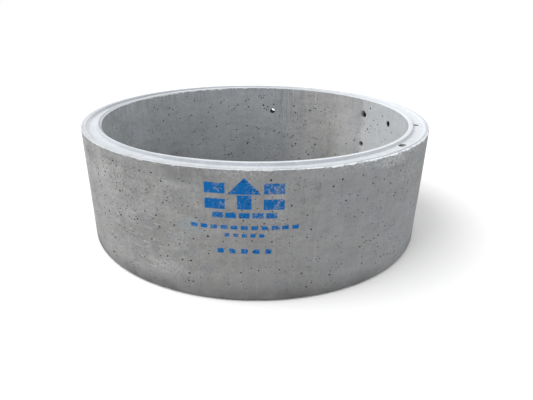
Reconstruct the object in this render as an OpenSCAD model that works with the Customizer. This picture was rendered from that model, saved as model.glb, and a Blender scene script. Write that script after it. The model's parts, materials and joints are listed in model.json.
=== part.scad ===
// Precast concrete chamber ring, cast in one piece. It stands on the tongue of its lower end, and the
// groove of its upper end takes the tongue of the next ring. The wall has blind sockets for step irons
// in pairs, one lifting hole right through, and two blind sockets in the floor of the groove.
// The axis is +Z, the tongue rests on z = 0, and azimuths are counted from +X towards +Y.

/* [Ring] */
// Clear diameter inside the ring
bore_d = 2100; // [1500:10:3600]
// Thickness of the wall
wall = 125; // [115:1:200]
// Height from the lower outer shoulder to the outer lip, which is what each ring adds to a stack
lay_h = 750; // [500:10:1500]
// Chamfer on the long edges of the wall
arris = 4; // [1:0.5:8]

/* [Joint] */
// Width of the flat outer lip beside the groove
lip_w = 31; // [20:1:36]
// Width of the inner land beside the groove
land_w = 20; // [12:1:25]
// Height of the crest of the inner land above the outer lip
land_rise = 4; // [1:0.5:8]
// Depth of the groove below the outer lip
groove_depth = 13; // [8:1:25]
// Run of each sloping flank of the groove
flank_run = 11; // [4:1:14]
// Gap between a tongue and the groove that it seats in
joint_gap = 3; // [1:0.5:5]

/* [Step sockets] */
// Diameter of a socket for the leg of a step iron
step_d = 40; // [20:1:50]
// Depth of a step socket from the inner wall
step_depth = 80; // [40:1:90]
// Distance between the two legs of one step iron
step_centres = 325; // [250:5:400]
// Height from one pair of step sockets to the next
step_pitch = 250; // [200:10:350]
// Depth of the top pair below the outer lip
step_first = 125; // [80:5:200]
// Azimuth of the line of steps, in degrees
step_azimuth = 21; // [0:1:359]

/* [Lifting hole] */
// Diameter of the lifting hole through the wall
lift_d = 45; // [30:1:70]
// Depth of the lifting hole below the outer lip
lift_drop = 213; // [150:1:300]
// Azimuth of the lifting hole, in degrees
lift_azimuth = 81; // [60:1:150]

/* [Groove sockets] */
// Diameter of a socket in the floor of the groove
groove_socket_d = 34; // [20:1:40]
// Clear floor between the inner flank of the groove and a groove socket
groove_socket_inset = 2; // [1:0.5:6]
// Depth of a groove socket below the floor of the groove
groove_socket_depth = 70; // [30:1:120]
// Azimuth of the first groove socket, in degrees
groove_socket_azimuth = 320; // [200:1:330]
// Angle from the first groove socket to the second, in degrees
groove_socket_turn = 27; // [15:1:30]

/* [Hidden] */
concrete_grey = [0.55, 0.55, 0.54];
$fn = 180;

// Sizes of the wall
inner_r = bore_d / 2;
outer_r = inner_r + wall;

// Heights: the tongue's tip is z = 0, and a seated tongue stays one gap above the floor of its groove
tongue_h = groove_depth - joint_gap;
lip_z = tongue_h + lay_h;
floor_z = lip_z - groove_depth;
crest_z = lip_z + land_rise;
inner_shoulder_z = tongue_h + land_rise + joint_gap;

// Radii of the groove at its lips and along its floor, and of the sockets in that floor
groove_out_r = outer_r - lip_w;
groove_in_r = inner_r + land_w;
floor_out_r = groove_out_r - flank_run;
floor_in_r = groove_in_r + flank_run;
groove_socket_r = floor_in_r + groove_socket_inset + groove_socket_d / 2;

// Run of a flank for each unit of height: the outer flank ends at the lip, the inner one at the crest
outer_run = flank_run / groove_depth;
inner_run = flank_run / (groove_depth + land_rise);

// Radii of the tongue, whose flanks lie one gap inside those of the groove
tongue_out_r = groove_out_r - joint_gap;
tongue_in_r = groove_in_r + joint_gap;
tip_out_r = tongue_out_r - outer_run * tongue_h;
tip_in_r = tongue_in_r + inner_run * (tongue_h + land_rise);
inner_shoulder_r = tip_in_r - inner_run * inner_shoulder_z;

// Step sockets: as many pairs as the wall has room for below the first
step_floor_x = sqrt(pow(inner_r, 2) - pow(step_centres / 2, 2)) + step_depth;
step_rows = 1 + floor((lay_h - step_first - step_d) / step_pitch);

// How far a cutting cylinder runs past the face that it opens
overcut = 30;

// Upper end of the section, from the outer wall to the inner one
upper_end = [
    [outer_r, lip_z - arris],
    [outer_r - arris, lip_z],
    [groove_out_r, lip_z],
    [floor_out_r, floor_z],
    [floor_in_r, floor_z],
    [groove_in_r, crest_z],
    [inner_r + arris, lip_z],
    [inner_r, lip_z - arris],
];

// Lower end of the section, from the inner wall to the outer one
lower_end = [
    [inner_r, inner_shoulder_z + arris],
    [inner_r + arris, inner_shoulder_z],
    [inner_shoulder_r, inner_shoulder_z],
    [tip_in_r, 0],
    [tip_out_r, 0],
    [tongue_out_r, tongue_h],
    [outer_r - arris, tongue_h],
    [outer_r, tongue_h + arris],
];

// One blind hole for a step iron's leg, parallel to its partner on the other side of the step's centre line
module step_socket(side, z) {
    translate([step_floor_x, side * step_centres / 2, z])
        rotate([0, -90, 0])
            cylinder(d = step_d, h = step_depth + overcut);
}

// The ladder of socket pairs
module step_sockets() {
    rotate([0, 0, step_azimuth])
        for (row = [0 : step_rows - 1], side = [-1, 1])
            step_socket(side, lip_z - step_first - row * step_pitch);
}

// The hole that takes a lifting pin
module lifting_hole() {
    rotate([0, 0, lift_azimuth])
        translate([inner_r - overcut, 0, lip_z - lift_drop])
            rotate([0, 90, 0])
                cylinder(d = lift_d, h = wall + 2 * overcut);
}

// Two blind holes down from the floor of the groove
module groove_sockets() {
    for (turn = [0, groove_socket_turn])
        rotate([0, 0, groove_socket_azimuth + turn])
            translate([groove_socket_r, 0, floor_z - groove_socket_depth])
                cylinder(d = groove_socket_d, h = groove_socket_depth + overcut);
}

module concrete_ring() {
    color(concrete_grey)
        difference() {
            rotate_extrude()
                polygon(concat(upper_end, lower_end));
            step_sockets();
            lifting_hole();
            groove_sockets();
        }
}

concrete_ring();
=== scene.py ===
"""Looks of a precast concrete chamber ring: a cast skin with pores, ragged edges and worn paint."""
import json
import math
from functools import lru_cache, reduce

import bmesh
import bpy
import numpy as np
from mathutils import Matrix, Vector
from mathutils.geometry import delaunay_2d_cdt
from numpy.random import default_rng


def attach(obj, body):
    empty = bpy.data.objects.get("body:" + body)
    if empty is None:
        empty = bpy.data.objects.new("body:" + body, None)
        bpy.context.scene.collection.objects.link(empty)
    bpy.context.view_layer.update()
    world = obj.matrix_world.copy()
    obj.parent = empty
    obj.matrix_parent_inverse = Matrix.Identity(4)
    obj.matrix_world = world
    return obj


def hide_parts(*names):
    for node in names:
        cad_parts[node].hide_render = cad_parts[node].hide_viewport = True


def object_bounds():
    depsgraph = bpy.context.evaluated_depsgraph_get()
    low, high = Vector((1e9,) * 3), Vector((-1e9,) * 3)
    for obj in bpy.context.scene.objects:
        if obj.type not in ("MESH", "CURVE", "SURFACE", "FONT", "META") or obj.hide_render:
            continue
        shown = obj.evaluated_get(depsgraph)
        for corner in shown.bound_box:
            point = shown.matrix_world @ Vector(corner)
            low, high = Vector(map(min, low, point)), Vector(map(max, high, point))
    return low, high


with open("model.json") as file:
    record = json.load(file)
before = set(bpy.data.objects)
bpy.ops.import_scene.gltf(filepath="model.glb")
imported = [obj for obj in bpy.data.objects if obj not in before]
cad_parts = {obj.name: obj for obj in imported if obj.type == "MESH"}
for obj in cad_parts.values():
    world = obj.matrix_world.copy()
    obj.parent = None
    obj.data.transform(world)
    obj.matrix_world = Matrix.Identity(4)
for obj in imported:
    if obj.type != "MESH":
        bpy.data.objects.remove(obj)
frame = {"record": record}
cad_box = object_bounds()

# Sizes that the frame gives, in metres
MOUNTS = {mount["name"]: mount for mount in frame["record"]["mounts"]}
INNER_R = MOUNTS["shaft_bore"]["dims"]["r_mm"] / 1000
OUTER_R = INNER_R + MOUNTS["lifting_hole"]["dims"]["length_mm"] / 1000
LIP_Z = MOUNTS["outer_lip"]["pos_m"][2]
FLOOR_Z = MOUNTS["groove_floor"]["pos_m"][2]
CREST_Z = cad_box[1].z

# Sizes of the joint that the frame doesn't name, in metres
LIP_W = 0.031
LAND_W = 0.020
FLANK_RUN = 0.011
JOINT_GAP = 0.003

# Heights and radii of the joint that follow from those
TONGUE_H = LIP_Z - FLOOR_Z - JOINT_GAP
INNER_SHOULDER_Z = TONGUE_H + CREST_Z - LIP_Z + JOINT_GAP
GROOVE_OUT_R = OUTER_R - LIP_W
GROOVE_IN_R = INNER_R + LAND_W
FLOOR_OUT_R = GROOVE_OUT_R - FLANK_RUN
FLOOR_IN_R = GROOVE_IN_R + FLANK_RUN
FLOOR_MID_R = (FLOOR_OUT_R + FLOOR_IN_R) / 2

# Units
TURN = 2 * math.pi
MM = 0.001

# Fineness of the mesh: columns round rim and foot, points round a hole, and steps on plain surfaces
COLUMNS = 960
FOOT_COLUMNS = 360
MOUTH_POINTS = 30
WALL_GRID = 0.040
FLOOR_GRID = 0.016

# Height of the strips at both ends of a wall, and their width on the floor of the groove
BAND = 0.030
FLOOR_MARGIN = 0.0015

# Welding of the mesh, and the angle from which an edge stays sharp
WELD_GAP = 0.02 * MM
SHARP_ANGLE = math.radians(38)

# Rows of the table that smooth noise is read from
NOISE_ROWS = 64

# Azimuths in degrees: where the outer edge is most ragged, and where its slurry is brightest
RAGGED_DEG = 318
BRIGHT_DEG = 305

# The rim: its lip below the crest, its longest drip, the land's spread and the wear of its inner edge
LIP_DROP = 0.8 * MM
LONGEST_DRIP = 0.011
LAND_SPREAD = 5.0 * MM
EDGE_WEAR = 17 * MM

# Depth of the chips at the mouths of holes, and the depth and direction of one spall
TOP_CHIP = 13 * MM
LOW_CHIP = 3 * MM
LIFT_CHIP = 1.5 * MM
SPALL = 13 * MM
SPALL_TURN = math.radians(155)

# Mouths of the groove sockets, in widths of their bores: across the groove, and along it
MOUTH_ACROSS = 0.95
FRONT_MOUTH_ALONG = 1.85
REAR_MOUTH_ALONG = 0.95

# A blind hole: its floor as a share of its throat, and where its lip ends between mouth and throat
SOCKET_TAPER = 0.97
SOCKET_LIP = 0.22

# Painted shade on the rings of a hole, from its mouth inwards
TOP_SOCKET_SHADE = (0.0, 0.27, 0.33, 1.0, 1.0)
LOW_SOCKET_SHADE = (0.0, 0.05, 0.10, 0.28, 1.0)
GROOVE_SOCKET_SHADE = (0.0, 0.24, 0.27, 0.30, 0.30)
LIFTING_HOLE_SHADE = (0.0, 0.22, 0.3, 0.22, 0.0)

# Seeds of broken mouths: the first hole's, and that of the lifting hole's inner mouth
HOLE_SEED = 200
INNER_MOUTH_SEED = 300

# Forms of a pore: the radius that each starts from, then its rings of points, each with how many there are,
# their share of the radius, their depth in radii, and how much painted shade they get. A ring has at most
# PORE_POINTS.
PORE_FORMS = (
    (5.2 * MM, ((9, 1.0, 0.0, 0.0), (6, 0.70, 0.75, 1.0), (1, 0.0, 1.0, 1.0))),
    (2.9 * MM, ((7, 1.0, 0.0, 0.0), (3, 0.55, 0.85, 1.0))),
    (0.0, ((5, 1.0, 0.0, 0.0), (1, 0.0, 0.9, 1.0))),
)
PORE_POINTS = 9

# Pores of each surface: chances, radii in mm (middle, spread, least, most), clear edge, and share in groups
OUTER_PORES = {"tries": 9300, "sizes": (3.25, 0.44, 1.7, 7.5), "edge": 12 * MM, "grouped": 0.05}
INNER_PORES = {"tries": 1950, "sizes": (5.0, 0.44, 2.4, 9.5), "edge": 12 * MM, "grouped": 0.14}
FLOOR_PORES = {"tries": 160, "sizes": (2.2, 0.3, 1.4, 4.5), "edge": 8 * MM, "grouped": 0.0}

# Zones of the skin, which are also its material slots
OUTSIDE = 0
INSIDE = 1
RIM = 2

# Painted marks: azimuth of their middle, softness of their edges, then heights and half sizes in metres
MARKS_DEG = -92.5
MARK_SOFT = 0.0025
ARROW_TIP_Z = 0.722
ARROW_FOOT_Z = 0.634
ARROW_SLOPE = 0.95
STEM_Z = 0.592
STEM_HALF = (0.036, 0.038)
BAR_AWAY = 0.148
BAR_HEIGHTS = (0.580, 0.664)
BAR_HALF = (0.052, 0.028)

# Rows of dashes: height, half height, pitch, half a dash as a share of the pitch, and half the row's length
DASH_ROWS = (
    (0.520, 0.015, 0.068, 0.40, 0.170),
    (0.452, 0.011, 0.052, 0.33, 0.286),
    (0.408, 0.010, 0.044, 0.30, 0.110),
    (0.316, 0.014, 0.062, 0.26, 0.155),
)

# Camera of the photograph: its place in metres, with its height taken from the lower shoulder, its turns,
# and its lens in pixels of a 533 by 400 picture
PHOTO_W = 533
CAMERA_BACK = 3.150
CAMERA_HEIGHT = 1.479
CAMERA_PITCH_DEG = 24.06
CAMERA_ROLL_DEG = 0.35
FOCAL_PX = 443.0
AXIS_X_PX = 254.62
SENSOR_MM = 36.0

# Half the floor's width in metres, and the sky's strength as a light and as a background
FLOOR_HALF = 60.0
SKY_LIGHT = 0.72
SKY_SEEN = 1.0

# Soft lamps: name, the way towards it, strength, and spread in degrees
LAMPS = (("key", (-0.72, -0.06, 0.69), 2.75, 70), ("fill", (0.9, -0.35, 0.30), 0.75, 90))


def ease(share):
    """A smooth step from 0 to 1."""
    share = np.clip(share, 0, 1)
    return share * share * (3 - 2 * share)


@lru_cache(maxsize=None)
def noise_table(seed, cells):
    """Chance values from -1 to 1 at the corners of a wrapped grid."""
    return default_rng(seed).uniform(-1, 1, (cells, NOISE_ROWS))


def ripple(theta, height, seed, cells, cell_h=1.0):
    """Smooth noise from -1 to 1, with so many cells in a turn round the ring and cells of a height up it."""
    table = noise_table(seed, cells)
    across = np.mod(theta, TURN) / TURN * cells
    up = height / cell_h + NOISE_ROWS / 2 + np.zeros_like(across)
    column = np.floor(across).astype(int)
    row = np.floor(up).astype(int)
    right = ease(across - column)
    above = ease(up - row)

    def along(level):
        left_value = table[column % cells, level % NOISE_ROWS]
        right_value = table[(column + 1) % cells, level % NOISE_ROWS]
        return left_value * (1 - right) + right_value * right

    return along(row) * (1 - above) + along(row + 1) * above


def bell(theta, centre_deg, half_deg):
    """1 at an azimuth, falling smoothly to 0 at so many degrees to either side."""
    gap = np.abs(np.mod(theta - math.radians(centre_deg) + math.pi, TURN) - math.pi)
    return ease(1 - gap / math.radians(half_deg))


def mound(theta, level, *bells):
    """A level with bells added to it, each given by its size, azimuth and half width."""
    for size, centre_deg, half_deg in bells:
        level = level + size * bell(theta, centre_deg, half_deg)
    return level


def hump(height, centre, half):
    """1 at a height, falling off on both sides of it."""
    return math.exp(-((height - centre) / half) ** 2)


def undulation(theta, height):
    """How far the cast wall strays from a true cylinder."""
    broad = 1.1 * MM * ripple(theta, height, 11, 15, 0.30)
    return broad + 0.35 * MM * ripple(theta, height, 12, 64, 0.10)


def ring_quads(rings, columns):
    """Quads between closed rings of points, stored ring after ring."""
    faces = []
    for ring in range(rings - 1):
        below = ring * columns
        above = below + columns
        for column in range(columns):
            beside = (column + 1) % columns
            faces.append((below + column, below + beside, above + beside, above + column))
    return faces


def add_object(name, data):
    """A new object in the scene, for a mesh, a lamp or a camera."""
    made = bpy.data.objects.new(name, data)
    bpy.context.scene.collection.objects.link(made)
    return made


class Skin:
    """Collects points and faces, and for each point how pale it is, how much painted shade lies on it, and
    how much painted shade it has inside a pore or hole.
    """

    def __init__(self):
        self.points = []
        self.values = {"pale": [], "soil": [], "pit": []}
        self.faces = []
        self.zones = []
        self.count = 0

    def add(self, points, faces, zone, **values):
        points = np.asarray(points, float).reshape(-1, 3)
        self.points.append(points)
        for name, parts in self.values.items():
            parts.append(np.broadcast_to(values.get(name, 0.0), len(points)).astype(np.float32))
        self.faces += [tuple(corner + self.count for corner in face) for face in faces]
        self.zones += [zone] * len(faces)
        self.count += len(points)

    def strip(self, theta, rings, zone):
        """Quads between closed rings: radius and height, then pale and painted shade where they aren't 0."""
        columns = len(theta)
        table = np.array([[part + np.zeros(columns) for part in (*ring, 0.0, 0.0)[:4]] for ring in rings])
        radius, height, pale, soil = table.transpose(1, 0, 2).reshape(4, -1)
        turned = np.tile(theta, len(rings))
        points = np.stack([radius * np.cos(turned), radius * np.sin(turned), height], 1)
        self.add(points, ring_quads(len(rings), columns), zone, pale=pale, soil=soil)

    def build(self, name, materials):
        """One welded mesh object of all that was added."""
        mesh = bpy.data.meshes.new(name)
        mesh.from_pydata(np.concatenate(self.points).tolist(), [], self.faces)
        for attribute, parts in self.values.items():
            layer = mesh.attributes.new(attribute, "FLOAT", "POINT")
            layer.data.foreach_set("value", np.concatenate(parts))
        mesh.polygons.foreach_set("material_index", np.array(self.zones, np.int32))
        for material in materials:
            mesh.materials.append(material)
        work = bmesh.new()
        work.from_mesh(mesh)
        bmesh.ops.remove_doubles(work, verts=work.verts, dist=WELD_GAP)
        bmesh.ops.recalc_face_normals(work, faces=work.faces)
        work.to_mesh(mesh)
        work.free()
        mesh.shade_smooth()
        mesh.set_sharp_from_angle(angle=SHARP_ANGLE)
        return add_object(name, mesh)


def bites(theta, seed, count, share, width, depth, height):
    """How deep and how tall a corner is broken away at each column. A share of so many bites happens."""
    rng = default_rng(seed)
    deep = np.zeros_like(theta)
    tall = np.zeros_like(theta)
    for _ in range(count):
        centre = rng.uniform(0, TURN)
        half = rng.uniform(*width) / OUTER_R
        size = rng.uniform(0.3, 1.0)
        if rng.uniform() > mound(centre, *share):
            continue
        gap = np.abs(np.mod(theta - centre + math.pi, TURN) - math.pi)
        form = np.sqrt(np.clip(1 - (gap / half) ** 2, 0, 1)) * size
        deep = np.maximum(deep, form * depth)
        tall = np.maximum(tall, form * height)
    return deep, tall


def break_corner(rings, corner_r, corner_z, inward, downward, deep, tall):
    """Move the points of the rings that lie in a broken corner back to its broken face."""
    broken = []
    for radius, height, *looks in rings:
        across = (corner_r - radius) * inward
        along = (corner_z - height) * downward
        missing = 1 - across / np.maximum(deep, MM) - along / np.maximum(tall, MM)
        missing = np.where(deep > 0.2 * MM, np.clip(missing, 0, 1.6) / 2, 0)
        broken.append((radius - inward * missing * deep, height - downward * missing * tall, *looks))
    return broken


def ragged(theta, seed, middle, swing):
    """How far slurry hangs over an edge. It swings about a middle, and below 0 the edge is broken."""
    fine = ripple(theta, 0.0, seed, 560)
    broad = ripple(theta, 0.0, seed + 1, 170)
    teeth = ripple(theta, 0.0, seed + 2, 330) ** 2
    return middle + swing * (0.6 * fine + 0.5 * broad + 0.9 * teeth - 0.3)


def floor_slurry_and_light(theta):
    """How pale the slurry on the floor of the groove is, with painted light added at the left."""
    return 1.0 + 0.17 * bell(theta, 200, 48)


def outer_rim_rings(theta):
    """Rings from the outer wall up over the ragged edge and the lip, and down to the floor of the groove."""
    swing = mound(theta, 3.5, (14, RAGGED_DEG, 50), (6, 276, 44), (3, 60, 80), (4, 238, 30)) * MM
    line = ragged(theta, 31, (1.2 + 2.5 * bell(theta, RAGGED_DEG, 50)) * MM, swing)
    white = 1.0 + 0.5 * bell(theta, BRIGHT_DEG, 62)
    hang = LONGEST_DRIP * np.tanh(np.maximum(line, 0.3 * MM) / LONGEST_DRIP)
    bite = np.maximum(-line, 0)
    skin = white - 0.5 * ease(bite / (4 * MM))
    # Painted shade along the step between the slurry shelf and the lip, most at the front right
    step_shade = mound(theta, 0.12, (0.24, RAGGED_DEG, 80), (0.10, 262, 50))
    thick = 0.3 * MM + 0.10 * hang
    # Painted shade on the inner slope of the lip and at its foot, most at the back left, and painted light
    # on it at the front left
    flank_lit = bell(theta, 205, 42)
    back_flank_shade = bell(theta, 124, 58)
    flank_pale_and_lit = 1.0 + 0.4 * flank_lit
    flank_shade = 0.10 * (1 - flank_lit) + 0.30 * back_flank_shade
    flank_foot_shade = 0.16 - 0.12 * flank_lit + 0.28 * back_flank_shade
    rough = []
    for row in range(4):
        wave = 0.6 * ripple(theta, float(row), 40, 520) + 0.7 * ripple(theta, float(row), 41, 170)
        rough.append(wave * MM)
    wall = OUTER_R + undulation(theta, LIP_Z - BAND)
    top = CREST_Z - LIP_DROP
    shelf = top - 1.2 * MM - 1.2 * MM * bell(theta, BRIGHT_DEG, 60)
    edge = [
        (wall, LIP_Z - BAND),
        (wall, shelf - (BAND + hang) / 2),
        (wall, shelf - hang - 4.0 * MM),
        # Painted shade on the wall just under the hanging slurry
        (wall, shelf - hang - 1.6 * MM, 0.1, 0.1),
        (wall + thick, shelf - hang - 0.6 * MM, skin),
        (wall + thick, shelf - hang * 0.6 - 0.6 * MM, skin),
        (wall + thick * 0.6, shelf - hang * 0.25 - 0.5 * MM, skin),
        (wall - 1.2 * MM, shelf + 0.5 * rough[0], skin),
        (OUTER_R - 5 * MM, shelf + 0.6 * MM + rough[1], skin),
        (OUTER_R - 8 * MM, shelf + 0.6 * MM + rough[2], 1.0, 0.5 * step_shade),
        (OUTER_R - 13 * MM, shelf + 0.2 * MM + 0.5 * rough[3], 0.9, step_shade),
        (OUTER_R - 17 * MM, top - 0.2 * MM, 1.0, 0.5 * step_shade),
    ]
    lip = [
        (OUTER_R - 23 * MM, top, 1.0),
        (GROOVE_OUT_R + 1.5 * MM, top, 1.0),
        (GROOVE_OUT_R - 0.7 * MM, top - 1.0 * MM, 1.0),
        # The last number of each ring is painted shade on the lip's inner slope and at its foot; the pale
        # number holds painted light at the front left
        (GROOVE_OUT_R - FLANK_RUN / 2, (top + FLOOR_Z) / 2, flank_pale_and_lit, flank_shade),
        (FLOOR_OUT_R + 0.8 * MM, FLOOR_Z + 0.9 * MM, flank_pale_and_lit, flank_foot_shade),
        (FLOOR_OUT_R - FLOOR_MARGIN, FLOOR_Z, floor_slurry_and_light(theta), 0.06),
    ]
    share = (0.10, (0.75, RAGGED_DEG, 46))
    deep, tall = bites(theta, 21, 420, share, (5 * MM, 18 * MM), 9 * MM, 9 * MM)
    deep = np.maximum(deep, bite * 1.5)
    tall = np.maximum(tall, bite * 1.3)
    return break_corner(edge, OUTER_R, top, 1, 1, deep, tall) + lip


def inner_rim_rings(theta):
    """Rings from the floor of the groove up over the land and its edge, and down to the inner wall."""
    swing = mound(theta, 1.0, (9, 118, 62), (1.5, 230, 90)) * MM
    hang = np.maximum(ragged(theta, 51, (3.0 + 6.5 * bell(theta, 132, 60)) * MM, swing), 0.3 * MM)
    # Painted shade on the slope of the land, which faces away from the light: less at the front right and
    # the left, more at the front left, and less on its upper part at the right
    shade = mound(theta, 1.0, (-0.55, 325, 45), (0.55, 244, 20), (-0.45, 197, 28))
    upper_shade_share = 1.0 - 0.9 * bell(theta, 355, 46)
    thick = 0.3 * MM + 0.09 * hang
    wear = 0.4 * MM * ripple(theta, 0.0, 55, 260)
    # Painted shade in the shallow crease of the inner land, most at the left
    crease_shade = 0.05 + 0.40 * bell(theta, 184, 54)
    white = mound(theta, 1.0, (0.50, 290, 75), (0.35, 112, 56))
    # Pale slurry on the inner arris, with painted light at the left, where the arris faces away from the
    # light
    arris_pale_and_lit = white + 0.45 * bell(theta, 168, 56)
    wall = INNER_R - undulation(theta, LIP_Z - BAND)
    spread = LAND_SPREAD * np.maximum(bell(theta, 355, 60), bell(theta, 185, 45))
    run = FLANK_RUN - spread
    land = GROOVE_IN_R + spread
    edge = CREST_Z - 2.6 * MM
    flank_h = CREST_Z - FLOOR_Z
    flank = [
        # The last number of each ring is painted shade: at the foot of the land's slope, on the slope, and
        # at its top
        (FLOOR_IN_R + FLOOR_MARGIN, FLOOR_Z, floor_slurry_and_light(theta), 0.10),
        (FLOOR_IN_R - 0.6 * MM, FLOOR_Z + 1.0 * MM, 1.0, 0.24 * shade),
        (FLOOR_IN_R - run * 0.36, FLOOR_Z + flank_h * 0.36, 1.0, 0.22 * shade),
        (FLOOR_IN_R - run * 0.70, FLOOR_Z + flank_h * 0.70, 1.0, 0.18 * shade * upper_shade_share),
        (land + 0.8 * MM, CREST_Z - 1.2 * MM + wear, 1.0, 0.05),
        (land - 1.4 * MM, CREST_Z + 0.5 * wear, white),
        (land - 5.0 * MM, CREST_Z, white, 0.2 * crease_shade),
        (land - 8.0 * MM, CREST_Z - 1.0 * MM, 1.0, crease_shade),
    ]
    corner = [
        (land - 12.0 * MM, CREST_Z - 0.6 * MM, 1.0, crease_shade),
        (INNER_R + 4.0 * MM, CREST_Z - 0.6 * MM, white, 0.1 * crease_shade),
        (INNER_R + 1.8 * MM, CREST_Z - 2.0 * MM, arris_pale_and_lit),
        (wall + 0.2 * MM, edge - 2.0 * MM, arris_pale_and_lit),
        (wall - thick * 0.6, edge - 2.4 * MM - hang * 0.30, arris_pale_and_lit),
        (wall - thick, edge - 2.4 * MM - hang * 0.65, arris_pale_and_lit),
        (wall - thick, edge - 2.5 * MM - hang, arris_pale_and_lit),
        # Painted shade on the wall just under the hanging slurry
        (wall, edge - 3.4 * MM - hang, 0.1, 0.08),
        (wall, edge - 6.0 * MM - hang),
        (wall, edge - 2.0 * MM - (BAND + hang) / 2),
        (wall, LIP_Z - BAND),
    ]
    share = (0.25, (0.3, 100, 60))
    deep, tall = bites(theta, 22, 90, share, (5 * MM, 14 * MM), 5 * MM, 6 * MM)
    worn = EDGE_WEAR * bell(theta, 220, 48)
    deep = np.maximum(deep, worn)
    tall = np.maximum(tall, worn)
    return flank + break_corner(corner, INNER_R, CREST_Z, -1, 1, deep, tall)


def foot_rings(theta):
    """Rings from the inner wall down over the tongue that the ring stands on, and up to the outer wall."""
    inner_wall = INNER_R - undulation(theta, INNER_SHOULDER_Z + BAND)
    outer_wall = OUTER_R + undulation(theta, TONGUE_H + BAND)
    rough = 0.6 * MM * ripple(theta, 0.0, 61, 240)
    outer_run = FLANK_RUN / (LIP_Z - FLOOR_Z)
    inner_run = FLANK_RUN / (CREST_Z - FLOOR_Z)
    tip_out = GROOVE_OUT_R - JOINT_GAP - outer_run * TONGUE_H
    tip_in = GROOVE_IN_R + JOINT_GAP + inner_run * (TONGUE_H + CREST_Z - LIP_Z)
    inside = [
        (inner_wall, INNER_SHOULDER_Z + BAND),
        (inner_wall, INNER_SHOULDER_Z + 14 * MM),
        (inner_wall, INNER_SHOULDER_Z + 5 * MM),
        (inner_wall + 1.5 * MM, INNER_SHOULDER_Z + 1.5 * MM + rough),
        (inner_wall + 5 * MM, INNER_SHOULDER_Z),
    ]
    tongue = [
        (tip_in - inner_run * INNER_SHOULDER_Z, INNER_SHOULDER_Z),
        (tip_in - 1.0 * MM, 1.4 * MM),
        (tip_in + 1.4 * MM, 0.0),
        ((tip_in + tip_out) / 2, 0.0),
        (tip_out - 1.4 * MM, 0.0),
        (tip_out + 1.0 * MM, 1.4 * MM),
        (GROOVE_OUT_R - JOINT_GAP, TONGUE_H),
    ]
    outside = [
        (outer_wall - 14 * MM, TONGUE_H),
        (outer_wall - 5 * MM, TONGUE_H),
        (outer_wall - 1.5 * MM, TONGUE_H + 1.5 * MM + rough),
        *((outer_wall, TONGUE_H + rise * MM) for rise in (5, 9, 14, 21)),
        (outer_wall, TONGUE_H + BAND),
    ]
    deep, tall = bites(theta, 23, 60, (0.6,), (14 * MM, 40 * MM), 7 * MM, 9 * MM)
    return inside, tongue, break_corner(outside, OUTER_R, TONGUE_H, 1, -1, deep, tall)


def inside_outline(points, ring):
    """Whether each flat point lies inside a closed outline."""
    inside = np.zeros(len(points), bool)
    for start, end in zip(ring, np.roll(ring, -1, axis=0)):
        crosses = (start[1] > points[:, 1]) != (end[1] > points[:, 1])
        rise = end[1] - start[1] if end[1] != start[1] else 1.0
        meets = start[0] + (points[:, 1] - start[1]) * (end[0] - start[0]) / rise
        inside ^= crosses & (points[:, 0] < meets)
    return inside


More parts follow.
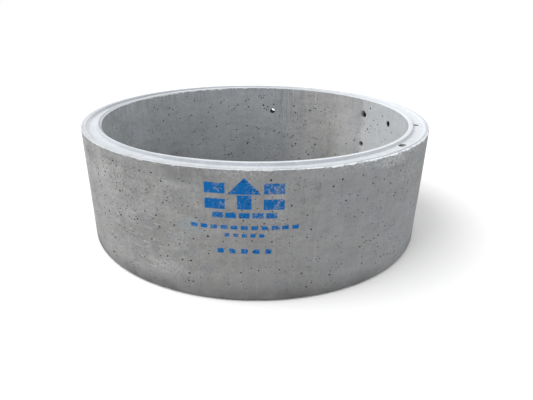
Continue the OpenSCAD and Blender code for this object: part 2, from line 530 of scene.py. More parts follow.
class Patch:
    """A surface of the ring unrolled flat: u runs round it and v across it, with pits and holes in it.

    It faces outwards (1), inwards (-1) or up (0). On a wall v is a height, and on the floor a radius.
    """

    def __init__(self, facing, seam_deg, radius, low, high, low_count, high_count, grid):
        self.facing = facing
        self.seam = math.radians(seam_deg)
        self.radius = radius
        self.width = TURN * radius
        self.low = low
        self.high = high
        self.low_count = low_count
        self.high_count = high_count
        self.grid = grid
        self.points = []
        self.holes = []
        self.outlines = []
        self.pores = np.zeros((0, 3))
        self.add_edges()

    def unroll(self, theta):
        return np.mod(theta - self.seam, TURN) * self.radius

    def azimuth(self, u):
        return self.seam + u / self.radius

    def place(self, u, v, depth):
        """Where flat points lie in space, when each is sunk by a depth."""
        theta = self.azimuth(u)
        radius = v
        height = FLOOR_Z - depth + np.zeros_like(u)
        if self.facing:
            radius = self.radius + self.facing * (undulation(theta, v) - depth)
            height = v
        return np.stack([radius * np.cos(theta), radius * np.sin(theta), height], 1)

    def put(self, u, v, depth=0.0, pit=0.0):
        self.points.append(np.stack(np.broadcast_arrays(np.atleast_1d(u), v, depth, pit), 1))

    def put_outline(self, count):
        """Keep the next points that are put, so many of them, as a closed outline."""
        first = sum(len(part) for part in self.points)
        self.outlines += [(first + k, first + (k + 1) % count) for k in range(count)]

    def add_edges(self):
        """The points of all four sides, spaced as the strips that they meet."""
        self.put(np.linspace(0, self.width, self.low_count + 1), self.low)
        self.put(np.linspace(0, self.width, self.high_count + 1), self.high)
        rows = np.linspace(self.low, self.high, 2 + int((self.high - self.low) / self.grid))[1:-1]
        for v in rows:
            self.put(np.array([0.0, self.width]), v)

    def free_points(self, rng):
        """Plain points, finer beside the fine edges."""
        spread = []
        reach = {}
        for count, start, away in ((self.low_count, self.low, 1), (self.high_count, self.high, -1)):
            row = start
            share = 2
            while share * self.width / count < self.grid:
                gap = share * self.width / count
                row += away * gap * 0.8
                steps = count // share
                u = (np.arange(steps) + 0.5 + rng.uniform(-0.15, 0.15, steps)) * self.width / steps
                spread.append(np.stack([u, row + rng.uniform(-0.1, 0.1, steps) * gap], 1))
                share *= 2
            reach[away] = row
        rows = max(1, round((reach[-1] - reach[1]) / (self.grid * 0.87)))
        steps = int(self.width / self.grid)
        for k in range(1, rows):
            v = reach[1] + (reach[-1] - reach[1]) * k / rows
            u = np.arange(steps) + 0.25 + 0.5 * (k % 2) + rng.uniform(-0.2, 0.2, steps)
            across = v + rng.uniform(-0.2, 0.2, steps) * self.grid
            spread.append(np.stack([u * self.width / steps, across], 1))
        points = np.concatenate(spread)
        inside = (points[:, 0] > 0.4 * self.grid) & (points[:, 0] < self.width - 0.4 * self.grid)
        points = points[inside]
        keep = np.ones(len(points), bool)
        for u, v, size in self.pores:
            near = np.abs(points[:, 0] - u) + np.abs(points[:, 1] - v) < 2.6 * size + 2 * MM
            keep &= ~near
        for _, centre, size in self.holes:
            keep &= np.linalg.norm(points - centre, axis=1) > size * 1.55
        return points[keep]

    def cut(self, outline):
        """Leave a hole inside an outline in space, and give back the outline as the patch places it."""
        theta = np.arctan2(outline[:, 1], outline[:, 0])
        across = outline[:, 2] if self.facing else np.hypot(outline[:, 0], outline[:, 1])
        across = np.clip(across, self.low + 0.6 * MM, self.high - 0.6 * MM)
        ring = np.stack([self.unroll(theta), across], 1)
        centre = ring.mean(0)
        self.holes.append((ring, centre, np.linalg.norm(ring - centre, axis=1).max()))
        self.put_outline(len(ring))
        self.put(*ring.T)
        wide = centre + (ring - centre)[::2] * 1.35
        wide = wide[(wide[:, 1] > self.low + MM) & (wide[:, 1] < self.high - MM)]
        self.put(*wide.T)
        return self.place(*ring.T, 0.0)

    def is_free(self, place, size, found):
        """Whether a pore of that size would meet no other pore and no hole."""
        if found:
            near = np.array(found)
            gaps = np.hypot(near[:, 0] - place[0], near[:, 1] - place[1]) - near[:, 2] - size
            if gaps.min() < 2.5 * MM:
                return False
        for ring, centre, reach in self.holes:
            if np.linalg.norm(ring - place, axis=1).min() < size + 4 * MM:
                return False
            if np.linalg.norm(centre - place) < reach:
                return False
        return True

    def add_pores(self, rng, share_at, scale_at, tries, sizes, edge, grouped):
        """Air pores at chance places, more where share_at says, some in groups, and none that meet."""
        middle, spread, least, most = sizes
        found = []
        for _ in range(tries):
            u = rng.uniform(0.02, self.width - 0.02)
            v = rng.uniform(self.low + edge, self.high - edge)
            size = float(np.clip(rng.lognormal(math.log(middle * MM), spread), least * MM, most * MM))
            lot = rng.uniform()
            shallow = rng.uniform(0.22, 1.0)
            if found and rng.uniform() < grouped:
                away = rng.uniform(0, TURN)
                step = found[-1][2] + size + rng.uniform(3, 11) * MM
                u = np.clip(found[-1][0] + step * math.cos(away), 0.02, self.width - 0.02)
                v = np.clip(found[-1][1] + step * math.sin(away), self.low + edge, self.high - edge)
                lot = 0.0
            theta = self.azimuth(u)
            size *= scale_at(theta)
            turn = rng.uniform(0, TURN)
            squeeze = rng.uniform(0.68, 1.0)
            wobble = rng.uniform(0.82, 1.12, PORE_POINTS)
            if lot > share_at(theta, v) or not self.is_free((u, v), size, found):
                continue
            found.append((u, v, size))
            rings = next(form for start, form in PORE_FORMS if size > start)
            self.put_outline(rings[0][0])
            for count, share, deep, dark in rings:
                phi = turn + TURN * np.arange(count) / count
                round_u = size * share * wobble[:count] * np.cos(phi)
                round_v = size * share * wobble[:count] * np.sin(phi) * squeeze
                # Painted shade in the pore, more of it the deeper the pore
                self.put(u + round_u, v + round_v, deep * size * (0.4 + 0.6 * shallow), dark * shallow)
        self.pores = np.array(found).reshape(-1, 3)

    def triangles(self, rng):
        """Points as u, v, depth and painted shade, and the triangles between them, with holes left open."""
        self.put(*self.free_points(rng).T)
        points = np.concatenate(self.points)
        flat = [Vector(place) for place in points[:, :2].tolist()]
        made = delaunay_2d_cdt(flat, self.outlines, [], 0, 1e-6)
        points = points[[came[0] for came in made[3]]]
        faces = np.array(made[2])
        middle = points[faces][:, :, :2].mean(1)
        keep = np.ones(len(faces), bool)
        for ring, _, _ in self.holes:
            keep &= ~inside_outline(middle, ring)
        return points, faces[keep].tolist()


class Hole:
    """A round hole of the frame: its axis, which points out of the mouth, its size, and a broken edge."""

    def __init__(self, mount, seed, chip, spall=0.0):
        self.middle = np.array(mount["pos_m"])
        self.axis = np.array(mount["axis"])
        self.radius = mount["dims"]["r_mm"] / 1000
        self.front = mount["dims"]["length_mm"] / 1000 / 2
        upright = np.array([0.0, 0.0, 1.0]) if abs(self.axis[2]) < 0.5 else np.array([1.0, 0.0, 0.0])
        self.side = np.cross(upright, self.axis)
        self.up = np.cross(self.axis, self.side)
        self.phi = TURN * np.arange(MOUTH_POINTS) / MOUTH_POINTS
        self.rng = default_rng(seed)
        self.chip = chip
        self.spall = spall

    def broken(self):
        """Radius of the mouth at each point round it."""
        waves = 0.0
        for k in (1, 2, 3, 5):
            size = self.rng.uniform(-1, 1)
            waves = waves + size * np.cos(k * self.phi + self.rng.uniform(0, TURN)) / k
        spalled = self.spall * np.maximum(np.cos(self.phi - SPALL_TURN), 0)
        return self.radius + self.chip * np.clip(0.35 + 0.45 * waves, 0.05, 1.2) + spalled

    def ring(self, radius, along):
        """Points round the axis, at a distance along it from the middle of the hole."""
        along = along + np.zeros(MOUTH_POINTS)
        sideways = np.outer(np.cos(self.phi) * radius, self.side)
        upwards = np.outer(np.sin(self.phi) * radius, self.up)
        return self.middle + sideways + upwards + np.outer(along, self.axis)

    def mouth_on_wall(self, wall_r):
        """The outline on a wall of that radius, with the wall's own undulation left out."""
        flat = self.ring(self.broken(), 0.0)
        square = self.axis[0] ** 2 + self.axis[1] ** 2
        linear = 2 * (flat[:, 0] * self.axis[0] + flat[:, 1] * self.axis[1])
        rest = flat[:, 0] ** 2 + flat[:, 1] ** 2 - wall_r ** 2
        root = np.sqrt(linear * linear - 4 * square * rest)
        both = np.stack([(-linear - root) / (2 * square), (-linear + root) / (2 * square)])
        nearest = both[np.abs(both).argmin(0), np.arange(MOUTH_POINTS)]
        return flat + np.outer(nearest, self.axis)

    def mouth_in_groove(self, along):
        """The outline of an upright hole: a little narrow across the groove, and so many bores along it."""
        mouth = self.ring(self.broken() * MOUTH_ACROSS, self.front)
        away = mouth - self.middle
        round_ring = np.array([-self.middle[1], self.middle[0], 0.0]) / np.hypot(*self.middle[:2])
        return mouth + np.outer(away @ round_ring, round_ring) * (along / MOUTH_ACROSS - 1.0)

    def in_order(self, points):
        """The points in the order of the hole's own rings, so that they can be joined to them."""
        offset = points - self.middle
        angle = np.mod(np.arctan2(offset @ self.up, offset @ self.side), TURN)
        return points[np.argsort(np.mod(angle + 0.5 * TURN / MOUTH_POINTS, TURN))]


def line_hole(skin, rings, ring_shade, zone, close):
    """The lining of a hole between rings of points, with a floor on the last ring if it is a blind one."""
    points = np.concatenate(rings)
    pit = np.repeat(ring_shade, MOUTH_POINTS)
    faces = ring_quads(len(rings), MOUTH_POINTS)
    if close:
        points = np.concatenate([points, rings[-1].mean(0)[None]])
        pit = np.append(pit, ring_shade[-1])
        last = (len(rings) - 1) * MOUTH_POINTS
        faces += [(last + i, last + (i + 1) % MOUTH_POINTS, len(points) - 1) for i in range(MOUTH_POINTS)]
    skin.add(points, faces, zone, pit=pit)


def line_socket(skin, hole, mouth, throat_at, deeper_at, ring_shade, zone):
    """The lining of a blind hole, from its mouth over its lip and throat down to its floor."""
    throat = hole.ring(hole.radius, throat_at)
    lip = mouth + (throat - mouth) * SOCKET_LIP
    deeper = hole.ring(hole.radius, deeper_at)
    bottom = hole.ring(hole.radius * SOCKET_TAPER, -hole.front)
    line_hole(skin, [mouth, lip, throat, deeper, bottom], ring_shade, zone, True)


def step_socket(skin, inner, name, seed):
    """A blind hole for the leg of a step iron. Those of the top row are the most chipped."""
    top_row = "top" in name
    spall = SPALL if name.endswith("top_left") else 0.0
    hole = Hole(MOUNTS[name], seed, TOP_CHIP if top_row else LOW_CHIP, spall)
    mouth = inner.cut(hole.mouth_on_wall(INNER_R))
    ring_shade = TOP_SOCKET_SHADE if top_row else LOW_SOCKET_SHADE
    line_socket(skin, hole, mouth, hole.front - 7 * MM, hole.front - 15 * MM, ring_shade, INSIDE)


def groove_socket(skin, floor, name, seed):
    """A blind hole in the floor of the groove. The front one's mouth is broken long."""
    hole = Hole(MOUNTS[name], seed, LOW_CHIP)
    along = FRONT_MOUTH_ALONG if name.endswith("front") else REAR_MOUTH_ALONG
    mouth = floor.cut(hole.mouth_in_groove(along))
    line_socket(skin, hole, mouth, hole.front - 9 * MM, 0.0, GROOVE_SOCKET_SHADE, RIM)


def lifting_hole(skin, outer, inner, name, seed):
    """The hole right through the wall."""
    mount = MOUNTS[name]
    hole = Hole(mount, seed, LIFT_CHIP)
    outside = outer.cut(hole.mouth_on_wall(OUTER_R))
    back = Hole({**mount, "axis": [-part for part in mount["axis"]]}, INNER_MOUTH_SEED, LIFT_CHIP)
    inside = inner.cut(back.mouth_on_wall(INNER_R))
    reach = hole.front - 8 * MM
    rings = [hole.ring(hole.radius, along) for along in (reach, 0.0, -reach)]
    line_hole(skin, [outside, *rings, hole.in_order(inside)], LIFTING_HOLE_SHADE, INSIDE, False)


def clump(theta, height, seed, swing):
    """How thickly the pores lie at a place, either side of 1, in patches of a few centimetres."""
    return 1.0 + swing * (2 * ease(0.5 + 0.8 * ripple(theta, height, seed, 150, 0.045)) - 1)


def outer_pore_share(theta, height):
    """Share of the chances that leave a pore on the outer wall: most at the left, fewest low down."""
    share = mound(theta, 0.34, (0.75, 207, 38), (0.30, 322, 20), (0.24, 238, 20), (0.10, 280, 18),
                  (-0.06, 257, 10))
    cluster = 0.06 * bell(theta, 304, 15) * hump(height, 0.48, 0.14)
    knot = 0.6 * bell(theta, 220, 9) * hump(height, 0.52, 0.08)
    band = 0.5 * bell(theta, 238, 14) * hump(height, 0.60, 0.05)
    share *= 1.0 - 0.35 * bell(theta, 90, 90)
    share *= clump(theta, height, 81, 0.45)
    sparse = 0.70 - 0.48 * bell(theta, 300, 56)
    return share * (1.15 - sparse * (1 - ease(height / 0.50))) + cluster + knot + band


def outer_pore_scale(theta):
    """The pores of the outer wall are larger at the left."""
    return float(0.88 + 0.19 * bell(theta, 224, 46))


def inner_pore_share(theta, height):
    """Share of the chances that leave a pore on the inner wall: few near its top."""
    share = mound(theta, 0.38, (0.26, 84, 34), (0.18, 118, 26), (0.24, 152, 40))
    return share * (0.40 + 0.90 * ease((0.70 - height) / 0.16)) * clump(theta, height, 82, 0.80)


def inner_pore_scale(theta):
    """The pores of the inner wall are smaller at the left."""
    return float(1.0 - 0.26 * bell(theta, 152, 52))


def build_ends(skin):
    """The rim with its groove, and the foot with its tongue, as strips of rings."""
    theta = TURN * np.arange(COLUMNS) / COLUMNS
    outer_rim = outer_rim_rings(theta)
    skin.strip(theta, outer_rim[:7], OUTSIDE)
    skin.strip(theta, outer_rim[6:], RIM)
    inner_rim = inner_rim_rings(theta)
    skin.strip(theta, inner_rim[:12], RIM)
    skin.strip(theta, inner_rim[11:], INSIDE)
    theta = TURN * np.arange(FOOT_COLUMNS) / FOOT_COLUMNS
    inside, tongue, outside = foot_rings(theta)
    skin.strip(theta, inside + tongue[:1], INSIDE)
    skin.strip(theta, tongue + outside[:1], OUTSIDE)
    skin.strip(theta, outside, OUTSIDE)


def build_ring(materials):
    """The whole skin of the ring, with pores and holes, as one mesh."""
    skin = Skin()
    build_ends(skin)
    wall_top = LIP_Z - BAND
    outer = Patch(1, 90, OUTER_R, TONGUE_H + BAND, wall_top, FOOT_COLUMNS, COLUMNS, WALL_GRID)
    inner = Patch(-1, 270, INNER_R, INNER_SHOULDER_Z + BAND, wall_top, FOOT_COLUMNS, COLUMNS, WALL_GRID)
    floor_in = FLOOR_IN_R + FLOOR_MARGIN
    floor_out = FLOOR_OUT_R - FLOOR_MARGIN
    floor = Patch(0, 90, FLOOR_MID_R, floor_in, floor_out, COLUMNS, COLUMNS, FLOOR_GRID)
    for number, name in enumerate(sorted(MOUNTS)):
        if name.startswith("step_socket"):
            step_socket(skin, inner, name, HOLE_SEED + number)
        elif name.startswith("groove_socket"):
            groove_socket(skin, floor, name, HOLE_SEED + number)
        elif name == "lifting_hole":
            lifting_hole(skin, outer, inner, name, HOLE_SEED + number)
    outer.add_pores(default_rng(71), outer_pore_share, outer_pore_scale, **OUTER_PORES)
    inner.add_pores(default_rng(72), inner_pore_share, inner_pore_scale, **INNER_PORES)
    floor.add_pores(default_rng(73), lambda theta, v: 0.5, lambda theta: 1.0, **FLOOR_PORES)
    for patch, zone in ((outer, OUTSIDE), (inner, INSIDE), (floor, RIM)):
        points, faces = patch.triangles(default_rng(74))
        u, v, depth, pit = points.T
        pale = floor_slurry_and_light(patch.azimuth(u)) if patch is floor else 0.0
        skin.add(patch.place(u, v, depth), faces, zone, pale=pale, pit=pit)
    return skin.build("ring_skin", materials)


class Graph:
    """Short calls for building the nodes of a material or of the world."""

    def __init__(self, owner):
        owner.use_nodes = True
        self.owner = owner
        self.tree = owner.node_tree
        self.tree.nodes.clear()

    def node(self, kind, sockets=None, **settings):
        made = self.tree.nodes.new(kind)
        for key, value in settings.items():
            setattr(made, key, value)
        for key, value in (sockets or {}).items():
            self.put(made.inputs[key], value)
        return made

    def put(self, socket, value):
        if isinstance(value, bpy.types.NodeSocket):
            self.tree.links.new(value, socket)
        else:
            socket.default_value = value

    def finish(self, shader, output="ShaderNodeOutputMaterial"):
        """Join the shader to the output, and give back the material or world."""
        self.node(output, {"Surface": shader.outputs[0]})
        return self.owner

    def math(self, operation, first, second=0.0, third=0.0, clamp=False):
        sockets = {0: first, 1: second, 2: third}
        return self.node("ShaderNodeMath", sockets, operation=operation, use_clamp=clamp).outputs[0]

    def product(self, *values):
        return reduce(lambda total, value: self.math("MULTIPLY", total, value), values)

    def largest(self, values):
        return reduce(lambda total, value: self.math("MAXIMUM", total, value), values)

    def ramp(self, value, low, high, to_low=0.0, to_high=1.0):
        """A smooth step of a value from one limit to another, which may lie either way round."""
        sockets = {"Value": value, "From Min": low, "From Max": high, "To Min": to_low, "To Max": to_high}
        return self.node("ShaderNodeMapRange", sockets, interpolation_type="SMOOTHSTEP").outputs["Result"]

    def mix(self, factor, first, second, blend="MIX"):
        made = self.node("ShaderNodeMix", data_type="RGBA", blend_type=blend)
        self.put(made.inputs[0], factor)
        self.put(made.inputs[6], first)
        self.put(made.inputs[7], second)
        return made.outputs[2]

    def lay(self, colour, over, *factors):
        """Lay one colour over another, as thickly as the product of the factors."""
        return self.mix(self.product(*factors), colour, over)

    def attribute(self, name):
        return self.node("ShaderNodeAttribute", attribute_name=name).outputs["Fac"]

    def within(self, value, centre, half, soft):
        """1 where a value lies within half of a centre, with a soft edge."""
        gap = self.math("ABSOLUTE", self.math("SUBTRACT", value, centre))
        return self.ramp(gap, half + soft, half - soft)

    def seen(self):
        """1 where the background itself is seen: by the camera, in gloss, or through glass."""
        path = self.node("ShaderNodeLightPath").outputs
        return self.largest([path[f"Is {kind} Ray"] for kind in ("Camera", "Glossy", "Transmission")])


def grey(level, warm=0.0):
    """A grey of that linear level, a little warm above 0 or a little blue below it."""
    return (level * (1 + warm), level, level * (1 - warm), 1.0)


class Surface(Graph):
    """The nodes of a concrete material, with the place on the ring and the noise that its layers share."""

    def __init__(self, name):
        super().__init__(bpy.data.materials.new(name))
        self.position = self.node("ShaderNodeTexCoord").outputs["Object"]
        parts = self.node("ShaderNodeSeparateXYZ", {0: self.position}).outputs
        self.height = parts["Z"]
        self.azimuth = self.product(self.math("ARCTAN2", parts["Y"], parts["X"]), 180 / math.pi)
        self.mottle = self.noise(13.0, 5.0, 0.62)
        self.fine = self.noise(75.0, 4.0, 0.68)
        self.grain = self.noise(330.0, 2.0, 0.6)
        self.streak = self.noise(30.0, 3.0, 0.6, (1.0, 1.0, 0.05))
        self.smear = self.noise(5.0, 4.0, 0.6, (1.0, 1.0, 4.5))

    def noise(self, scale, detail, roughness, finer=(1.0, 1.0, 1.0), tilt=0.0):
        """Soft noise on the ring, so many times finer along each axis, and tilted about the second one."""
        sockets = {"Vector": self.position, "Rotation": (0.0, tilt, 0.0), "Scale": finer}
        vector = self.node("ShaderNodeMapping", sockets).outputs[0]
        sockets = {"Vector": vector, "Scale": scale, "Detail": detail, "Roughness": roughness}
        return self.node("ShaderNodeTexNoise", sockets).outputs["Fac"]

    def pinholes(self):
        """Fine pinholes, too small to model, as dots of painted shade: 1 inside them."""
        cells = self.node("ShaderNodeTexVoronoi", {"Vector": self.position, "Scale": 42.0})
        chance = self.node("ShaderNodeSeparateColor", {0: cells.outputs["Color"]}).outputs[0]
        size = self.ramp(chance, 0.35, 1.0, 0.0, 0.095)
        return self.ramp(self.math("SUBTRACT", size, cells.outputs["Distance"]), -0.005, 0.015)

    def spot(self, azimuth_deg, height, half_deg, half_height):
        """A soft round patch on a wall, 1 in its middle."""
        signed = (azimuth_deg + 180) % 360 - 180
        far = 0.0
        for value, middle, half in ((self.azimuth, signed, half_deg), (self.height, height, half_height)):
            away = self.math("DIVIDE", self.math("SUBTRACT", value, middle), half)
            far = self.math("MULTIPLY_ADD", away, away, far)
        return self.ramp(far, 1.0, 0.0)

    def spots(self, places):
        """The largest of several patches, each given with its strength first."""
        return self.largest([self.product(self.spot(*place), strength) for strength, *place in places])

    def beside(self, azimuth_deg, half_deg, soft_deg):
        """1 in an upright band at an azimuth."""
        return self.within(self.azimuth, azimuth_deg, half_deg, soft_deg)

    def bands(self, colour, bands):
        """Lay upright bands over a colour: azimuth, half width, soft edge, strength and grey of each."""
        for azimuth_deg, half_deg, soft_deg, strength, tone in bands:
            colour = self.lay(colour, tone, self.beside(azimuth_deg, half_deg, soft_deg), strength)
        return colour


def concrete(name, cast, slurry, uneven, contrast, layers=None):
    """Cast concrete with clouds, mottle and grain, pale slurry, painted shade in pinholes, pores, holes,
    creases and on shaded slopes, and layers of its own.

    Both cast and slurry are a dark and a light grey, and contrast is a number or a function of the surface.
    """
    graph = Surface(name)
    strength = contrast(graph) if callable(contrast) else contrast
    weights = (
        (graph.noise(2.6, 4.0, 0.55), 0.75 * uneven),
        (graph.mottle, 0.70 * uneven),
        (graph.fine, 1.05),
        (graph.grain, 0.50),
        (graph.streak, 0.32 * uneven),
        (graph.smear, 0.65 * uneven),
    )
    level = 0.5
    for part, weight in weights:
        change = graph.product(graph.math("SUBTRACT", part, 0.5), weight)
        level = graph.math("MULTIPLY_ADD", change, strength, level)
    level = graph.math("ADD", level, 0.0, clamp=True)
    colour = graph.mix(level, *cast)
    hue = graph.noise(17.0, 4.0, 0.6)
    colour = graph.mix(graph.ramp(hue, 0.40, 0.64), colour, (1.015, 1.0, 0.98, 1.0), "MULTIPLY")
    colour = graph.mix(graph.ramp(hue, 0.52, 0.34), colour, (0.99, 1.0, 1.015, 1.0), "MULTIPLY")
    if layers:
        colour = layers(graph, colour)
    # Painted shade in the pinholes
    colour = graph.lay(colour, grey(0.03), graph.pinholes(), 0.85)

    pale = graph.attribute("pale")
    torn = graph.math("MULTIPLY_ADD", graph.math("SUBTRACT", graph.mottle, 0.5), 0.9, pale)
    fresh = graph.largest([graph.product(graph.beside(2.0, 36.0, 28.0), 0.40), graph.ramp(pale, 1.0, 1.5)])
    cover = graph.mix(fresh, graph.mix(level, *slurry), grey(0.80, -0.03))
    colour = graph.lay(colour, cover, graph.ramp(torn, 0.35, 0.65))
    # Painted shade from the mesh, on slopes turned from the light, in creases and under hanging slurry,
    # tinted with painted bluish sky light
    soil = graph.attribute("soil")
    shaded_sky_tint = graph.math("MULTIPLY", soil, 5.0, clamp=True)
    colour = graph.mix(shaded_sky_tint, colour, (0.985, 1.0, 1.035, 1.0), "MULTIPLY")
    colour = graph.lay(colour, grey(0.022), soil, 0.88)
    # Painted shade inside pores and holes, given by the mesh
    pit = graph.math("MULTIPLY", graph.attribute("pit"), 2.4, clamp=True)
    colour = graph.lay(colour, grey(0.020), pit, 0.93)

    relief = graph.math("MULTIPLY_ADD", graph.fine, 0.6, graph.product(graph.grain, 0.4))
    bump = graph.node("ShaderNodeBump", {"Strength": 0.40, "Distance": 0.004, "Height": relief})
    shader = graph.node("ShaderNodeBsdfPrincipled", {
        "Base Color": colour,
        "Normal": bump.outputs["Normal"],
        "Roughness": 0.88,
        "Specular IOR Level": 0.25,
    })
    return graph.finish(shader)


def outside_contrast(graph):
    """The outer wall is calmer at the front right and low down."""
    away = graph.math("ABSOLUTE", graph.math("ADD", graph.azimuth, 62.0))
    low = graph.ramp(graph.height, 0.20, 0.66, 0.86, 1.10)
    return graph.product(graph.ramp(away, 18.0, 70.0, 0.74, 1.06), low)


def outside_layers(graph, colour):
    """The stains, the painted shade at the foot, the scuffs under the edge and the paint of the outer wall.
    """
    for layer in (outside_stains, foot_shade, edge_scuffs, paint):
        colour = layer(graph, colour)
    return colour


def outside_stains(graph, colour):
    """Blue-grey, pale and damp patches, slanting scuffs and fine upright lines."""
    patchy = graph.ramp(graph.noise(6.0, 4.0, 0.6), 0.35, 0.62, 0.25, 1.0)
    blue = graph.product(graph.ramp(graph.azimuth, -105.0, -45.0, 0.15, 1.0), patchy)
    colour = graph.mix(blue, colour, (0.945, 1.0, 1.065, 1.0), "MULTIPLY")
    colour = graph.bands(colour, (
        (-48.0, 24.0, 18.0, 0.20, grey(0.60, -0.02)),
        (-154.0, 14.0, 12.0, 0.08, grey(0.60)),
    ))

    dark = graph.spots((
        (0.45, 214, 0.68, 7, 0.05), (0.30, 243, 0.38, 9, 0.11), (0.22, 233, 0.30, 6, 0.08),
        (0.20, 272, 0.32, 9, 0.14), (0.62, 253, 0.72, 11, 0.07), (0.25, 329, 0.52, 6, 0.03),
    ))
    colour = graph.lay(colour, grey(0.17, -0.02), dark, graph.ramp(graph.mottle, 0.36, 0.60))
    pale = graph.spots((
        (0.55, 246, 0.16, 8, 0.06), (0.30, 251.5, 0.34, 3, 0.07), (0.35, 228, 0.64, 7, 0.10),
        (0.30, 209, 0.61, 6, 0.05), (0.25, 275, 0.50, 4, 0.20), (0.30, 318, 0.62, 9, 0.07),
    ))
    colour = graph.lay(colour, grey(0.58), pale, graph.ramp(graph.fine, 0.40, 0.62))

    slanting = graph.noise(1.0, 3.0, 0.6, (14.0, 14.0, 70.0), math.radians(-38))
    where = graph.spots(((0.65, 236, 0.30, 20, 0.26), (0.30, 300, 0.40, 16, 0.20)))
    colour = graph.lay(colour, grey(0.62), graph.ramp(slanting, 0.58, 0.72), where)

    lines = graph.noise(55.0, 2.0, 0.5, (1.0, 1.0, 0.03))
    colour = graph.lay(colour, grey(0.55), graph.ramp(lines, 0.64, 0.76, 0.0, 0.28))
    return graph.lay(colour, grey(0.20), graph.ramp(lines, 0.36, 0.24, 0.0, 0.25))


def foot_shade(graph, colour):
    """Painted shade rising from the ground with a ragged top, less of it at the front right, and more
    painted shade low at the front.
    """
    ragged_height = graph.math("MULTIPLY_ADD", graph.streak, -0.045, graph.height)
    ragged_height = graph.math("MULTIPLY_ADD", graph.mottle, -0.110, ragged_height)
    foot = graph.ramp(ragged_height, -0.075, 0.048, 1.0, 0.0)
    worn = graph.ramp(graph.noise(4.0, 3.0, 0.6), 0.34, 0.60, 0.40, 1.0)
    less_at_front_right = graph.math("MULTIPLY_ADD", graph.beside(-45.0, 10.0, 9.0), -0.6, 0.85)
    colour = graph.lay(colour, grey(0.12), foot, worn, less_at_front_right)
    low = graph.ramp(graph.height, 0.30, 0.02)
    return graph.lay(colour, grey(0.15), low, graph.beside(-82.0, 16.0, 22.0), 0.30)


def edge_scuffs(graph, colour):
    """Pale scratches and slurry on the outer wall just under its upper edge."""
    crown = graph.ramp(graph.height, LIP_Z - 0.068, LIP_Z - 0.008)
    speckle = graph.ramp(graph.noise(95.0, 4.0, 0.7), 0.50, 0.60)
    above_marks = graph.product(graph.beside(-94.0, 10.0, 7.0), 0.55)
    where = graph.largest([graph.beside(-45.0, 24.0, 12.0), above_marks])
    colour = graph.lay(colour, grey(0.66, -0.03), crown, where, speckle, 0.85)
    scuff = graph.spot(309, 0.722, 8, 0.040)
    return graph.lay(colour, grey(0.66, -0.03), scuff, graph.ramp(graph.fine, 0.42, 0.58), 0.75)


def mark_shapes(graph, along, height):
    """The painted shapes, each 1 inside: an arrow that points up, bars beside it, and rows of dashes."""

    def box(middle, half, half_height):
        return graph.product(graph.within(along, 0.0, half, MARK_SOFT),
                             graph.within(height, middle, half_height, MARK_SOFT))

    away = graph.math("ABSOLUTE", along)
    slope = graph.product(graph.math("SUBTRACT", ARROW_TIP_Z, height), ARROW_SLOPE)
    head = graph.ramp(graph.math("SUBTRACT", away, slope), MARK_SOFT, -MARK_SOFT)
    head = graph.product(head, graph.ramp(height, ARROW_FOOT_Z - MARK_SOFT, ARROW_FOOT_Z + MARK_SOFT))
    beside = graph.within(away, BAR_AWAY, BAR_HALF[0], MARK_SOFT)
    levels = graph.largest([graph.within(height, level, BAR_HALF[1], MARK_SOFT) for level in BAR_HEIGHTS])
    shapes = [head, box(STEM_Z, *STEM_HALF), graph.product(beside, levels)]
    for middle, half_height, pitch, share, half in DASH_ROWS:
        step = graph.math("FRACT", graph.math("ADD", graph.math("DIVIDE", along, pitch), 0.5))
        dash = graph.within(step, 0.5, share, MARK_SOFT / pitch)
        shapes.append(graph.product(dash, box(middle, half, half_height)))
    return shapes


def paint(graph, colour):
    """Worn blue setting-out marks, and a thin mist of their paint."""
    shake = graph.math("MULTIPLY_ADD", graph.fine, 0.010, -0.005)
    along = graph.product(graph.math("ADD", graph.azimuth, -MARKS_DEG), math.radians(1) * OUTER_R)
    shapes = mark_shapes(graph, graph.math("ADD", along, shake), graph.math("ADD", graph.height, shake))
    wear = graph.math("MULTIPLY_ADD", graph.fine, 0.75, graph.product(graph.mottle, 0.5))
    mist = graph.ramp(graph.mottle, 0.38, 0.62)
    colour = graph.lay(colour, (0.24, 0.48, 0.62, 1.0), graph.spot(254.5, 0.44, 5.0, 0.06), mist, 0.16)
    cover = graph.ramp(wear, 0.62, 0.78, 1.0, 0.40)
    return graph.lay(colour, (0.001, 0.146, 0.455, 1.0), graph.largest(shapes), cover)


def inside_layers(graph, colour):
    """A paler panel round the step sockets, upright bands, streaks near the top and a white run."""
    ragged_edge = graph.ramp(graph.math("MULTIPLY_ADD", graph.mottle, 9.0, graph.azimuth), 36.5, 34.0)
    soft_edge = graph.ramp(graph.azimuth, -60.0, -20.0)
    colour = graph.lay(colour, grey(0.62, -0.01), ragged_edge, soft_edge, 0.36)
    colour = graph.bands(colour, (
        (106.0, 18.0, 18.0, 0.16, grey(0.60, -0.04)),
        (41.0, 4.0, 4.0, 0.14, grey(0.60, -0.01)),
        (51.0, 6.0, 6.0, 0.13, grey(0.20)),
    ))
    colour = graph.mix(graph.beside(52.0, 18.0, 14.0), colour, (1.05, 1.0, 0.95, 1.0), "MULTIPLY")

    top = graph.ramp(graph.height, LIP_Z - 0.16, LIP_Z - 0.02)
    runs = graph.noise(60.0, 2.0, 0.5, (1.0, 1.0, 0.03))
    left = graph.beside(150.0, 26.0, 16.0)
    colour = graph.lay(colour, grey(0.55, -0.04), top, left, graph.ramp(runs, 0.52, 0.70), 0.35)
    colour = graph.lay(colour, grey(0.18, -0.03), top, graph.ramp(runs, 0.45, 0.30), 0.30)
    damp = graph.product(graph.beside(73.0, 7.0, 5.0), graph.ramp(graph.height, 0.36, 0.50))
    colour = graph.lay(colour, grey(0.17), damp, graph.ramp(runs, 0.52, 0.38), 0.30)
    white_run = graph.beside(58.5, 0.17, 0.12)
    return graph.lay(colour, grey(0.72), white_run, graph.ramp(graph.height, 0.58, 0.66), 0.5)


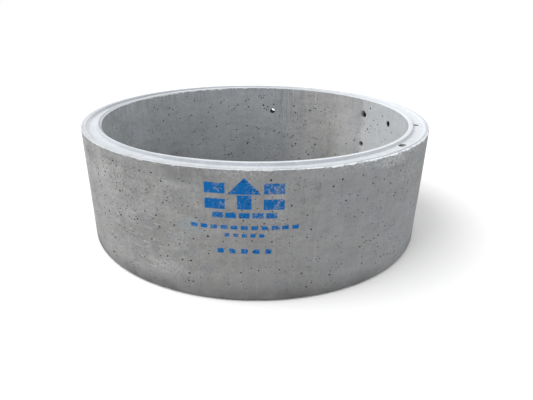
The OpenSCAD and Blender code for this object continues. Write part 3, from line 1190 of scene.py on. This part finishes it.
def make_stage():
    """A white floor that keeps the ring's shadow, and is a darker grey as a source of light."""
    mesh = bpy.data.meshes.new("floor")
    corners = [(x * FLOOR_HALF, y * FLOOR_HALF, 0) for x, y in ((-1, -1), (1, -1), (1, 1), (-1, 1))]
    mesh.from_pydata(corners, [], [(0, 1, 2, 3)])
    floor = add_object("floor", mesh)
    graph = Graph(bpy.data.materials.new("floor"))
    colour = graph.mix(graph.seen(), grey(0.22), grey(0.95))
    mesh.materials.append(graph.finish(graph.node("ShaderNodeBsdfDiffuse", {"Color": colour})))


def make_light():
    """An even sky, a broad soft lamp from the upper left and a weak one from the right."""
    graph = Graph(bpy.data.worlds.new("sky"))
    strength = graph.ramp(graph.seen(), 0.0, 1.0, SKY_LIGHT, SKY_SEEN)
    sky = graph.node("ShaderNodeBackground", {"Color": (1.0, 1.0, 1.0, 1.0), "Strength": strength})
    bpy.context.scene.world = graph.finish(sky, "ShaderNodeOutputWorld")
    for name, towards, energy, spread_deg in LAMPS:
        lamp = bpy.data.lights.new(name, "SUN")
        lamp.energy = energy
        lamp.angle = math.radians(spread_deg)
        add_object(name, lamp).rotation_euler = Vector(towards).to_track_quat("Z", "Y").to_euler()


def make_camera():
    """The photograph's camera."""
    data = bpy.data.cameras.new("camera")
    data.sensor_width = SENSOR_MM
    data.lens = SENSOR_MM * FOCAL_PX / PHOTO_W
    data.shift_x = (PHOTO_W / 2 - AXIS_X_PX) / PHOTO_W
    camera = add_object("camera", data)
    camera.location = (0.0, -CAMERA_BACK, CAMERA_HEIGHT + TONGUE_H)
    pitch = Matrix.Rotation(math.radians(90 - CAMERA_PITCH_DEG), 3, "X")
    roll = Matrix.Rotation(math.radians(CAMERA_ROLL_DEG), 3, "Z")
    camera.rotation_euler = (pitch @ roll).to_euler()
    bpy.context.scene.camera = camera


bpy.context.scene.view_settings.view_transform = "Standard"
outside = concrete("concrete_outside", (grey(0.192, 0.004), grey(0.478, 0.004)),
                   (grey(0.44, -0.03), grey(0.66, -0.03)), 1.0, outside_contrast, outside_layers)
inside = concrete("concrete_inside", (grey(0.22, -0.05), grey(0.525, -0.05)),
                  (grey(0.44, -0.04), grey(0.66, -0.04)), 0.62, 1.18, inside_layers)
rim = concrete("concrete_rim", (grey(0.20), grey(0.50)),
               (grey(0.44, -0.04), grey(0.66, -0.04)), 1.0, 1.0)
ring = build_ring([outside, inside, rim])
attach(ring, "root")
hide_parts("concrete_ring")
make_stage()
make_light()
make_camera()
